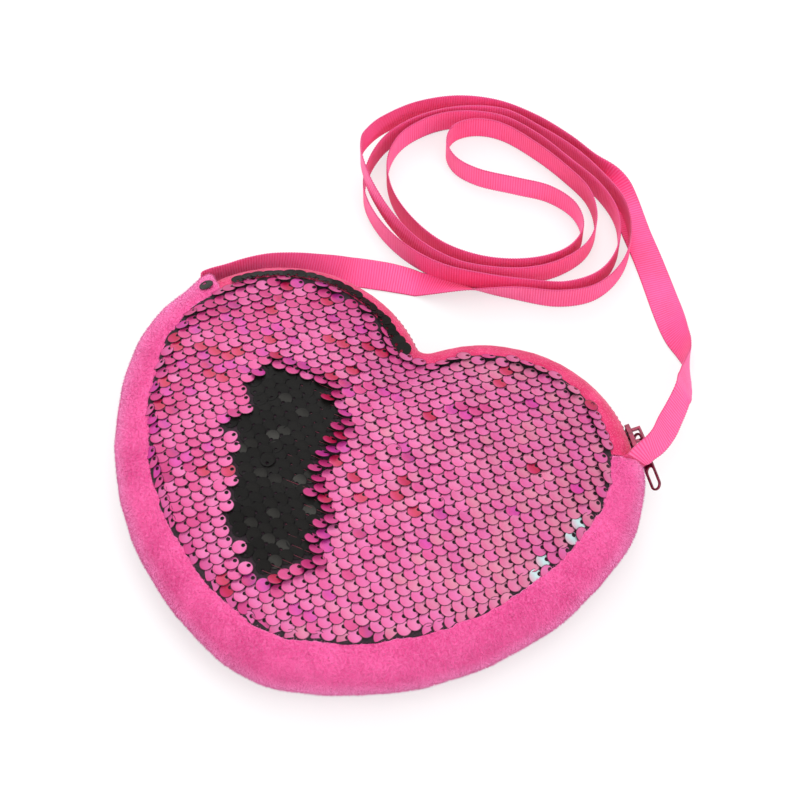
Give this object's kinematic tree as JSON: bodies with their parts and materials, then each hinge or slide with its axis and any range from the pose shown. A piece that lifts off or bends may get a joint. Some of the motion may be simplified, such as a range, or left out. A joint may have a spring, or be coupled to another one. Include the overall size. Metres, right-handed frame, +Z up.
{
  "type": "heart shaped sequin purse",
  "caption": "Heart shaped zip purse with two-sided sequins on its front, a rounded plush edge and a long coiled ribbon strap.",
  "frame": {"origin": "on the surface the purse lies on, under the middle of the heart's length and on its middle line", "axes": "+X across the heart towards the zip's closed end, +Y from the tip towards the cleft, +Z up through the sequin front"},
  "size_m": [0.1752, 0.2338, 0.0291],
  "materials": {
    "sequin_pink": "glossy hot pink film, dark on its back",
    "sequin_black": "black satin film, pink on its back",
    "plush": "short brushed plush pile",
    "lining": "smooth woven lining",
    "base_cloth": "knitted base cloth",
    "zip_tape": "close knitted zip tape",
    "zip_teeth": "nylon teeth",
    "slider_metal": "dark crimson enamel",
    "ribbon": "grosgrain with crosswise ribs",
    "thread": "sewing thread"
  },
  "bodies": {
    "bag": {"back_panel": "plush", "back_lining": "lining", "front_backing": "base_cloth", "front_lining": "lining", "gusset_band": "plush", "gusset_lining": "lining", "zipper_tape_front": "zip_tape", "zipper_tape_back": "zip_tape", "zipper_teeth_front": "zip_teeth", "zipper_teeth_back": "zip_teeth", "zipper_top_stops": "zip_teeth", "zipper_bottom_stop": "zip_teeth", "strap": "ribbon", "strap_tail_right": "ribbon", "strap_tail_left": "ribbon", "front_seam_thread": "thread", "back_seam_thread": "thread", "sequins_pink": "sequin_pink", "sequins_black": "sequin_black"},
    "slider": {"slider_body": "slider_metal"},
    "pull": {"pull_tab": "slider_metal"},
    "turning_sequin_1": {"flip_sequin_1": "sequin_pink"},
    "turning_sequin_2": {"flip_sequin_2": "sequin_pink"},
    "turning_sequin_3": {"flip_sequin_3": "sequin_pink"},
    "turning_sequin_4": {"flip_sequin_4": "sequin_black"}
  },
  "joints": [
    {"name": "slider_travel", "type": "hinge", "parent": "bag", "child": "slider", "pos_m": [0.0365, 0.02195, 0.011], "axis": [0, 0, 1], "range_deg": [0, 75], "deforming": ["zipper_teeth_front", "zipper_teeth_back"]},
    {"name": "pull_swing", "type": "hinge", "parent": "slider", "child": "pull", "pos_m": [0.07409, 0.05683, 0.011], "axis": [0, 0, 1], "range_deg": [0, 150]},
    {"name": "sequin_turn_1", "type": "hinge", "parent": "bag", "child": "turning_sequin_1", "pos_m": [0.00976, 0.01303, 0.0283], "axis": [-1, 0, 0.0067], "range_deg": [0, 160]},
    {"name": "sequin_turn_2", "type": "hinge", "parent": "bag", "child": "turning_sequin_2", "pos_m": [0.02927, 0.00219, 0.02782], "axis": [-0.9986, 0, 0.0531], "range_deg": [0, 160]},
    {"name": "sequin_turn_3", "type": "hinge", "parent": "bag", "child": "turning_sequin_3", "pos_m": [0.01708, -0.02219, 0.02747], "axis": [-0.9989, 0, 0.0479], "range_deg": [0, 160]},
    {"name": "sequin_turn_4", "type": "hinge", "parent": "bag", "child": "turning_sequin_4", "pos_m": [-0.02439, -0.01014, 0.02845], "axis": [0.9987, 0, 0.0518], "range_deg": [0, 160]}
  ]
}
